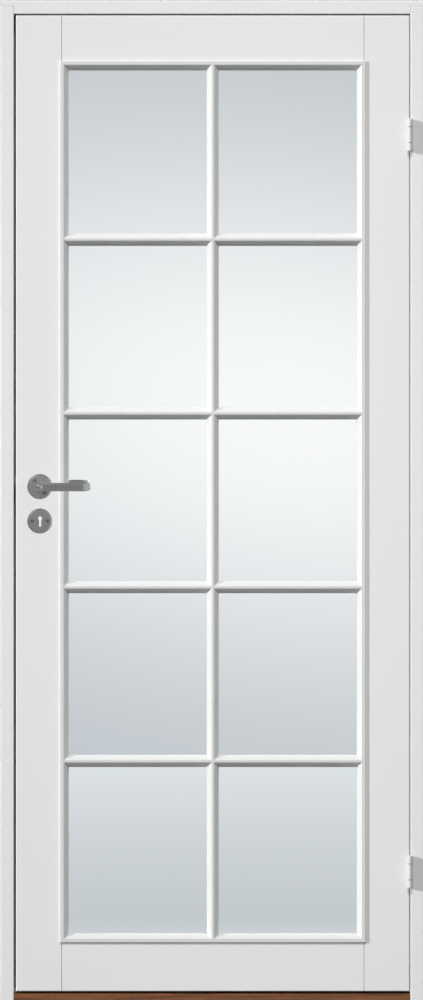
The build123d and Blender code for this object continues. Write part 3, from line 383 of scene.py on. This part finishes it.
def turned_stainless(name, centre, hardware):
    """Stainless steel turned on a lathe and brushed: fine rings round the middle, a soft fan of light.

    The rings are drawn coarser than real ones, because real ones are too fine to show.
    """
    material, tree = new_material(name)
    place = add(tree, "ShaderNodeTexCoord")
    middle = add(tree, "ShaderNodeVectorMath", {"operation": "SUBTRACT", 1: centre},
                 {0: place.outputs["Object"]})
    flat = add(tree, "ShaderNodeVectorMath", {"operation": "MULTIPLY", 1: (1.0, 0.0, 1.0)},
               {0: middle.outputs[0]})
    radius = add(tree, "ShaderNodeVectorMath", {"operation": "LENGTH"}, {0: flat.outputs[0]})
    turns = add(tree, "ShaderNodeMath", {"operation": "DIVIDE", 1: hardware.brushing},
                {0: radius.outputs["Value"]})
    rings = add(tree, "ShaderNodeTexNoise", {"noise_dimensions": "1D", "Scale": 1.0, "Detail": 2.0},
                {"W": turns.outputs[0]})
    show_satin_steel(tree, rings, hardware)
    return material


def plated_steel(name, colour, roughness):
    """Pressed steel with a thin bright plating: cloudy, slightly uneven gloss."""
    material, tree = new_material(name)
    place = add(tree, "ShaderNodeTexCoord")
    cloud = add(tree, "ShaderNodeTexNoise", {"Scale": 1 / PLATING_CLOUD, "Detail": 3.0},
                {"Vector": place.outputs["Object"]})
    shade = add(tree, "ShaderNodeMix",
                {"data_type": "RGBA", 6: solid(Vector(colour) * THIN_PLATING), 7: solid(colour)},
                {0: cloud.outputs["Fac"]})
    dull = add(tree, "ShaderNodeMapRange", {"To Min": roughness - 0.08, "To Max": roughness + 0.08},
               {"Value": cloud.outputs["Fac"]})
    show(tree, add(tree, "ShaderNodeBsdfPrincipled", {"Metallic": 1.0},
                   {"Base Color": shade.outputs[2], "Roughness": dull.outputs[0]}))
    return material


def powder_coat(name, colour, roughness):
    """Powder coated steel: even white, low gloss, a fine orange peel."""
    material, tree = new_material(name)
    peel = add(tree, "ShaderNodeTexNoise", {"Scale": 1.0, "Detail": 1.0},
               {"Vector": stretched(tree, 2, SPRAY_WIDTH, SPRAY_WIDTH)})
    dull = add(tree, "ShaderNodeMapRange", {"To Min": roughness - 0.06, "To Max": roughness + 0.06},
               {"Value": peel.outputs["Fac"]})
    relief = add(tree, "ShaderNodeBump", {"Strength": 0.4, "Distance": 0.00004},
                 {"Height": peel.outputs["Fac"]})
    show(tree, add(tree, "ShaderNodeBsdfPrincipled", {"Base Color": solid(colour), "IOR": 1.5},
                   {"Roughness": dull.outputs[0], "Normal": relief.outputs[0]}))
    return material


def greased_pin_with_painted_shade(name, node, coat, shank):
    """Hinge pin: a greased steel shank, dark as painted shade of the knuckle gaps, between white coated
    crowns.
    """
    material, tree = new_material(name)
    low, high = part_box(node)
    place = add(tree, "ShaderNodeTexCoord")
    axes = add(tree, "ShaderNodeSeparateXYZ", links={0: place.outputs["Object"]})
    inside = add(tree, "ShaderNodeMath",
                 {"operation": "COMPARE", 1: (low.z + high.z) / 2, 2: (high.z - low.z) / 2 - PIN_CROWN},
                 {0: axes.outputs["Z"]})
    smear = add(tree, "ShaderNodeTexNoise", {"Scale": 1 / GREASE_SMEAR}, {"Vector": place.outputs["Object"]})
    dull = add(tree, "ShaderNodeMapRange", {"To Min": 0.3, "To Max": 0.5}, {"Value": smear.outputs["Fac"]})
    # Painted shade: the dark shank shows only in the knuckle gaps, where it stands in for their shade
    colour = add(tree, "ShaderNodeMix", {"data_type": "RGBA", 6: solid(coat), 7: solid(shank)},
                 {0: inside.outputs[0]})
    show(tree, add(tree, "ShaderNodeBsdfPrincipled", links={
        "Base Color": colour.outputs[2], "Metallic": inside.outputs[0], "Roughness": dull.outputs[0]}))
    return material


def soft_moulding(name, colour, roughness):
    """Extruded soft strip or moulded block: dull, with a faint mottle."""
    material, tree = new_material(name)
    mottle = add(tree, "ShaderNodeTexNoise", {"Scale": 1.0, "Detail": 2.0},
                 {"Vector": stretched(tree, 2, SPRAY_WIDTH, SPRAY_WIDTH)})
    shade = add(tree, "ShaderNodeMix",
                {"data_type": "RGBA", 6: solid(Vector(colour) * RUBBER_MOTTLE), 7: solid(colour)},
                {0: mottle.outputs["Fac"]})
    show(tree, add(tree, "ShaderNodeBsdfPrincipled", {"Roughness": roughness},
                   {"Base Color": shade.outputs[2]}))
    return material


def clear_glass(name, glazing):
    """Clear float glass: sharp, faintly green, with lamps and soft light let through."""
    material, tree = new_material(name)
    pane = add(tree, "ShaderNodeBsdfPrincipled", {
        "Base Color": solid(glazing.glass), "Roughness": 0.0, "IOR": 1.52, "Transmission Weight": 1.0})
    passing = add(tree, "ShaderNodeBsdfTransparent", {"Color": solid(glazing.glass)})
    path = add(tree, "ShaderNodeLightPath")
    lit = add(tree, "ShaderNodeMath", {"operation": "MAXIMUM"},
              {0: path.outputs["Is Shadow Ray"], 1: path.outputs["Is Diffuse Ray"]})
    show(tree, add(tree, "ShaderNodeMixShader",
                   links={0: lit.outputs[0], 1: pane.outputs[0], 2: passing.outputs[0]}))
    return material


# Operators, one for each group of like pieces

def settings():
    """The door's settings in this scene."""
    return bpy.context.scene.door


def paint_pieces(slot, finish, colour):
    """Paint all pieces of a slot, with the grain along each piece."""
    materials = {}
    for node in slot_nodes(slot):
        axis = long_axis(node)
        if axis not in materials:
            materials[axis] = satin_paint_on_pine(f"{finish}, grain along {'XYZ'[axis]}", colour, axis,
                                                  settings().paint)
        put_on([node], materials[axis])


class DOOR_OT_frame(Operator):
    """Paint the jambs and the head"""

    bl_idname = "door.paint_frame"
    bl_label = "Paint the frame"

    def execute(self, context):
        paint = settings().paint
        paint_pieces("painted_frame_pine", "white satin paint on frame pine", paint.leaf)
        return {"FINISHED"}


class DOOR_OT_leaf(Operator):
    """Paint the stiles and rails"""

    bl_idname = "door.paint_leaf"
    bl_label = "Paint the leaf"

    def execute(self, context):
        paint = settings().paint
        put_on(["lock_stile", "hinge_stile"], satin_paint_on_pine(
            "white satin paint on stile pine", paint.leaf, long_axis("lock_stile"), paint))
        # The rails' ends take the painted shade line of the open joints
        axis = long_axis("top_rail")
        low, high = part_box("top_rail")
        put_on(["top_rail", "bottom_rail"], satin_paint_on_pine(
            "white satin paint on rail pine", paint.leaf, axis, paint, (low[axis], high[axis])))
        return {"FINISHED"}


class DOOR_OT_mouldings(Operator):
    """Paint the mouldings and glazing bars"""

    bl_idname = "door.paint_mouldings"
    bl_label = "Paint the mouldings"

    def execute(self, context):
        paint = settings().paint
        paint_pieces("painted_moulding_pine", "white satin paint on moulding pine", paint.moulding)
        return {"FINISHED"}


class DOOR_OT_timber(Operator):
    """Oil the oak threshold and plane the dowels"""

    bl_idname = "door.finish_timber"
    bl_label = "Finish the bare timber"

    def execute(self, context):
        timber = settings().timber
        put_on(slot_nodes("oiled_oak"), oiled_oak("oiled oak", long_axis("threshold"), timber))
        put_on(slot_nodes("beech"), planed_beech("planed beech", 0, timber))
        return {"FINISHED"}


class DOOR_OT_glazing(Operator):
    """Put in the glass, its setting blocks and the seals"""

    bl_idname = "door.glaze"
    bl_label = "Glaze and seal"

    def execute(self, context):
        glazing = settings().glazing
        put_on(slot_nodes("clear_glass"), clear_glass("clear float glass", glazing))
        put_on(slot_nodes("black_seal"), soft_moulding("black seal rubber", glazing.seal, 0.75))
        put_on(slot_nodes("block_plastic"), soft_moulding("black block plastic", glazing.block, 0.55))
        return {"FINISHED"}


class DOOR_OT_hinges(Operator):
    """Coat the hinges and their pins"""

    bl_idname = "door.coat_hinges"
    bl_label = "Coat the hinges"

    def execute(self, context):
        paint, hardware = settings().paint, settings().hardware
        put_on(slot_nodes("white_hinge_steel"), powder_coat("white powder coat on steel", paint.hinge, 0.38))
        for place in ("upper", "lower"):
            node = place + "_hinge_pin"
            # The pin's dark shank is painted shade of the knuckle gaps; the grease shows only in its gloss
            put_on([node], greased_pin_with_painted_shade(f"greased steel {place} pin", node, paint.hinge, hardware.shank))
        return {"FINISHED"}


class DOOR_OT_handle(Operator):
    """Brush the levers, roses and escutcheons"""

    bl_idname = "door.brush_handle"
    bl_label = "Brush the handle set"

    def execute(self, context):
        hardware = settings().hardware
        put_on(slot_nodes("satin_stainless"), brushed_stainless("brushed stainless steel", 0, hardware))
        for kind in ("rose", "escutcheon"):
            low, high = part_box("front_" + kind)
            disc = turned_stainless(f"turned stainless steel {kind}", (low + high) / 2, hardware)
            put_on([f"{side}_{kind}" for side in ("front", "back")], disc)
        put_on(["rose_screws"], plated_steel("burnished screw steel", hardware.screw, 0.45))
        return {"FINISHED"}


def shorten_with_latch(node):
    """Let a spring shorten between the lock case and the latch bolt, as the bolt is drawn in."""
    spring = NODES[node]
    low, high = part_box(node)
    pressed = spring.vertex_groups.new(name="pressed by the latch")
    for vertex in spring.data.vertices:
        pressed.add([vertex.index], (high.x - vertex.co.x) / (high.x - low.x), "REPLACE")
    hook = spring.modifiers.new("shortens with the latch", "HOOK")
    hook.object = frame["bodies"]["latch"]
    hook.vertex_group = pressed.name
    hook.falloff_type = "NONE"
    bpy.context.view_layer.update()
    hook.matrix_inverse = hook.object.matrix_world.inverted() @ spring.matrix_world


class DOOR_OT_lock(Operator):
    """Plate the lock, its bolts and the screws, and seat the latch spring"""

    bl_idname = "door.plate_lock"
    bl_label = "Plate the lock"

    def execute(self, context):
        hardware = settings().hardware
        put_on(slot_nodes("zinc_steel"), plated_steel("zinc plated steel", hardware.zinc, 0.4))
        put_on(slot_nodes("nickel_bolt"), plated_steel("nickel plated steel", hardware.nickel, 0.28))
        shorten_with_latch("latch_spring")
        return {"FINISHED"}


# Stage, in metres and degrees

FLOOR_REACH = 60.0
BACKDROP_TOP = 30.0
SENSOR = 36.0            # millimetres
HORIZON_BLEND = 0.4
KEY_DIRECTION = Vector((-2.3, -1.0, 0.68))
KEY_ANGLE = 1.5
SOFTBOX_PLACE = Vector((0.3, -7.2, 10.4))
SOFTBOX_AIM = Vector((0.0, 0.0, 0.87))
SOFTBOX_SIZE = 1.5
SOFTBOX_SPREAD = 23.0
FILL_PLACE = Vector((3.6, 5.6, 4.6))
FILL_SIZE = 3.0
SHEEN_PLACE = Vector((-0.48, -0.8, 1.28))
GLINT_PLACE = Vector((-0.80, -0.6, 1.55))
HANDLE_LAMP_SIZE = 0.12
BOARD_DIRECTION = Vector((0.78, -0.62, 0.05))
BOARD_EDGE = 0.66
SWEEP_START = 1.2
SWEEP_END = 3.4
GLOW_PLACE = (0.31, 1.40)
GLOW_REACH = (3.1, 1.62)
GLOW_TILT = 8.0


def sheet(name, corners, material):
    """A flat four-cornered mesh for the stage."""
    mesh = bpy.data.meshes.new(name)
    mesh.from_pydata(corners, [], [(0, 1, 2, 3)])
    piece = bpy.data.objects.new(name, mesh)
    piece.data.materials.append(material)
    bpy.context.scene.collection.objects.link(piece)
    return piece


def pale_floor(studio):
    """Dull pale floor with the door's shadow, which passes into an evenly bright sweep away from it."""
    material, tree = new_material("pale studio floor")
    place = add(tree, "ShaderNodeTexCoord")
    away = add(tree, "ShaderNodeVectorMath", {"operation": "LENGTH"}, {0: place.outputs["Object"]})
    far = add(tree, "ShaderNodeMapRange",
              {"From Min": SWEEP_START, "From Max": studio.backdrop_distance},
              {"Value": away.outputs["Value"]})
    colour = add(tree, "ShaderNodeMix",
                 {"data_type": "RGBA", 6: solid(studio.floor_sweep), 7: solid(studio.floor_far)},
                 {0: far.outputs[0]})
    sweep = add(tree, "ShaderNodeMapRange",
                {"interpolation_type": "SMOOTHSTEP", "From Min": SWEEP_START, "From Max": SWEEP_END},
                {"Value": away.outputs["Value"]})
    near = add(tree, "ShaderNodeBsdfDiffuse", {"Color": solid(studio.floor_near)})
    bright = add(tree, "ShaderNodeEmission", links={"Color": colour.outputs[2]})
    show(tree, add(tree, "ShaderNodeMixShader",
                   links={0: sweep.outputs[0], 1: near.outputs[0], 2: bright.outputs[0]}))
    return material


def graded_backdrop(studio):
    """Backdrop with a soft round glow, which only shows from its front."""
    material, tree = new_material("graded backdrop")
    place = add(tree, "ShaderNodeTexCoord")
    spot = add(tree, "ShaderNodeMapping", {
        "vector_type": "TEXTURE", "Location": (GLOW_PLACE[0], studio.backdrop_distance, GLOW_PLACE[1]),
        "Rotation": (0, math.radians(GLOW_TILT), 0), "Scale": (GLOW_REACH[0], 1.0, GLOW_REACH[1])},
        {"Vector": place.outputs["Object"]})
    away = add(tree, "ShaderNodeVectorMath", {"operation": "LENGTH"}, {0: spot.outputs[0]})
    fade = add(tree, "ShaderNodeMapRange", {"interpolation_type": "SMOOTHSTEP"},
               {"Value": away.outputs["Value"]})
    whole = add(tree, "ShaderNodeMix",
                {"data_type": "RGBA", 6: solid(studio.backdrop_glow), 7: solid(studio.backdrop_edge)},
                {0: fade.outputs[0]})
    glow = add(tree, "ShaderNodeEmission", links={"Color": whole.outputs[2]})
    behind = add(tree, "ShaderNodeNewGeometry")
    clear = add(tree, "ShaderNodeBsdfTransparent")
    show(tree, add(tree, "ShaderNodeMixShader",
                   links={0: behind.outputs["Backfacing"], 1: glow.outputs[0], 2: clear.outputs[0]}))
    return material


def build_floor(studio):
    """Floor and backdrop. Neither lights the door, and only the backdrop shows in its gloss."""
    reach, back, top = FLOOR_REACH, studio.backdrop_distance, BACKDROP_TOP
    level = [(-reach, -reach, 0), (reach, -reach, 0), (reach, reach, 0), (-reach, reach, 0)]
    floor = sheet("studio_floor", level, pale_floor(studio))
    floor.visible_diffuse = False
    floor.visible_glossy = False
    upright = [(-reach, back, 0), (reach, back, 0), (reach, back, top), (-reach, back, top)]
    wall = sheet("studio_backdrop", upright, graded_backdrop(studio))
    wall.visible_diffuse = False
    wall.visible_shadow = False


def build_world(studio):
    """Soft light, what the gloss shows of the studio, and a pale surround where it is seen."""
    world = bpy.data.worlds.new("studio surround")
    world.use_nodes = True
    bpy.context.scene.world = world
    tree = world.node_tree
    tree.nodes.clear()
    direction = add(tree, "ShaderNodeTexCoord")
    axes = add(tree, "ShaderNodeSeparateXYZ", links={0: direction.outputs["Generated"]})
    horizon = {"From Min": -HORIZON_BLEND, "From Max": HORIZON_BLEND}
    soft = add(tree, "ShaderNodeMapRange", {**horizon, "To Min": studio.ground, "To Max": studio.sky},
               {"Value": axes.outputs["Z"]})
    gloss = add(tree, "ShaderNodeMapRange",
                {**horizon, "To Min": studio.gloss_ground, "To Max": studio.gloss_sky},
                {"Value": axes.outputs["Z"]})
    towards = add(tree, "ShaderNodeVectorMath",
                  {"operation": "DOT_PRODUCT", 1: BOARD_DIRECTION.normalized()},
                  {0: direction.outputs["Generated"]})
    board = add(tree, "ShaderNodeMapRange",
                {"interpolation_type": "SMOOTHSTEP", "From Min": BOARD_EDGE, "To Max": studio.board},
                {"Value": towards.outputs["Value"]})
    mirrored = add(tree, "ShaderNodeMath", {}, {0: gloss.outputs[0], 1: board.outputs[0]})
    path = add(tree, "ShaderNodeLightPath")
    strength = add(tree, "ShaderNodeMix", {}, {0: path.outputs["Is Glossy Ray"], 2: soft.outputs[0],
                                               3: mirrored.outputs[0]})
    light = add(tree, "ShaderNodeBackground", links={"Strength": strength.outputs[0]})
    seen = add(tree, "ShaderNodeBackground", {"Color": solid(studio.world)})
    shown = add(tree, "ShaderNodeMath", {"operation": "MAXIMUM"},
                {0: path.outputs["Is Camera Ray"], 1: path.outputs["Is Transmission Ray"]})
    both = add(tree, "ShaderNodeMixShader",
               links={0: shown.outputs[0], 1: light.outputs[0], 2: seen.outputs[0]})
    add(tree, "ShaderNodeOutputWorld", links={"Surface": both.outputs[0]})


def add_lamp(name, kind, place, aim, energy):
    """A lamp at a place, turned to a point, that the camera doesn't see."""
    lamp = bpy.data.objects.new(name, bpy.data.lights.new(name, kind))
    lamp.data.energy = energy
    lamp.location = place
    lamp.rotation_mode = "QUATERNION"
    lamp.rotation_quaternion = (aim - place).to_track_quat("-Z", "Y")
    lamp.visible_camera = False
    lamp.visible_transmission = False
    bpy.context.scene.collection.objects.link(lamp)
    return lamp


def handle_set(name, state):
    """A collection of the handle's pieces, for the lamps that light them or pass them by."""
    pieces = bpy.data.collections.new(name)
    for node in slot_nodes("satin_stainless") + ["spindle", "grub_screws"]:
        pieces.objects.link(NODES[node])
    for member in pieces.collection_objects:
        member.light_linking.link_state = state
    return pieces


def build_lamps(studio):
    """A low key from the left, a softbox above, a fill behind and two small lamps for the handle alone."""
    key = add_lamp("key", "SUN", DOOR_MIDDLE + KEY_DIRECTION, DOOR_MIDDLE, studio.key)
    key.data.angle = math.radians(KEY_ANGLE)
    softbox = add_lamp("softbox", "AREA", SOFTBOX_PLACE, SOFTBOX_AIM, studio.softbox)
    softbox.data.size = SOFTBOX_SIZE
    softbox.data.spread = math.radians(SOFTBOX_SPREAD)
    softbox.visible_glossy = False
    fill = add_lamp("back fill", "AREA", FILL_PLACE, DOOR_MIDDLE, studio.fill)
    fill.data.size = FILL_SIZE
    handle_alone = handle_set("pieces that the handle lamps light", "INCLUDE")
    low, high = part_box("front_lever")
    for name, place, watts in (("sheen", SHEEN_PLACE, studio.sheen), ("glint", GLINT_PLACE, studio.glint)):
        small = add_lamp(name, "AREA", place, (low + high) / 2, watts)
        small.data.size = HANDLE_LAMP_SIZE
        small.light_linking.receiver_collection = handle_alone
    others = handle_set("pieces that the large lamps pass by", "EXCLUDE")
    for lamp in (key, softbox):
        lamp.light_linking.blocker_collection = others
    key.light_linking.receiver_collection = others


def build_camera(studio):
    """A long lens far off, straight before the door, which draws it with almost no perspective."""
    data = bpy.data.cameras.new("camera")
    data.sensor_width = SENSOR
    data.lens = SENSOR * studio.distance / studio.field
    camera = bpy.data.objects.new("camera", data)
    camera.location = (studio.centre_x, FRAME_FRONT - studio.distance, studio.centre_z)
    camera.rotation_euler = (math.radians(90), 0, 0)
    bpy.context.scene.collection.objects.link(camera)
    bpy.context.scene.camera = camera


class DOOR_OT_stage(Operator):
    """Set floor, backdrop, lamps and camera"""

    bl_idname = "door.set_stage"
    bl_label = "Set the stage"

    def execute(self, context):
        studio = settings().studio
        build_floor(studio)
        build_world(studio)
        build_lamps(studio)
        build_camera(studio)
        context.scene.view_settings.view_transform = "Standard"
        return {"FINISHED"}


OPERATORS = (
    DOOR_OT_frame,
    DOOR_OT_leaf,
    DOOR_OT_mouldings,
    DOOR_OT_timber,
    DOOR_OT_glazing,
    DOOR_OT_hinges,
    DOOR_OT_handle,
    DOOR_OT_lock,
    DOOR_OT_stage,
)


class DOOR_PT_panel(Panel):
    """The door's settings, and its operators in the order in which they are used"""

    bl_idname = "DOOR_PT_panel"
    bl_label = "Glazed door"
    bl_space_type = "VIEW_3D"
    bl_region_type = "UI"
    bl_category = "Door"

    def draw(self, context):
        door = context.scene.door
        for group in DoorSettings.__annotations__:
            box = self.layout.box()
            box.label(text=group.capitalize())
            for setting in type(getattr(door, group)).__annotations__:
                box.prop(getattr(door, group), setting)
        for operator in OPERATORS:
            self.layout.operator(operator.bl_idname)


CLASSES = (
    DoorPaint, DoorTimber, DoorHardware, DoorGlazing, DoorStudio, DoorSettings, *OPERATORS, DOOR_PT_panel)


def register():
    """Make the classes and the settings known to Blender."""
    for kind in CLASSES:
        bpy.utils.register_class(kind)
    bpy.types.Scene.door = PointerProperty(type=DoorSettings)


def unregister():
    """Take the settings and the classes away again."""
    del bpy.types.Scene.door
    for kind in reversed(CLASSES):
        bpy.utils.unregister_class(kind)


def main():
    """Finish the door piece by piece and set the stage."""
    register()
    bpy.ops.door.paint_frame()
    bpy.ops.door.paint_leaf()
    bpy.ops.door.paint_mouldings()
    bpy.ops.door.finish_timber()
    bpy.ops.door.glaze()
    bpy.ops.door.coat_hinges()
    bpy.ops.door.brush_handle()
    bpy.ops.door.plate_lock()
    bpy.ops.door.set_stage()


if __name__ == "__main__":
    main()
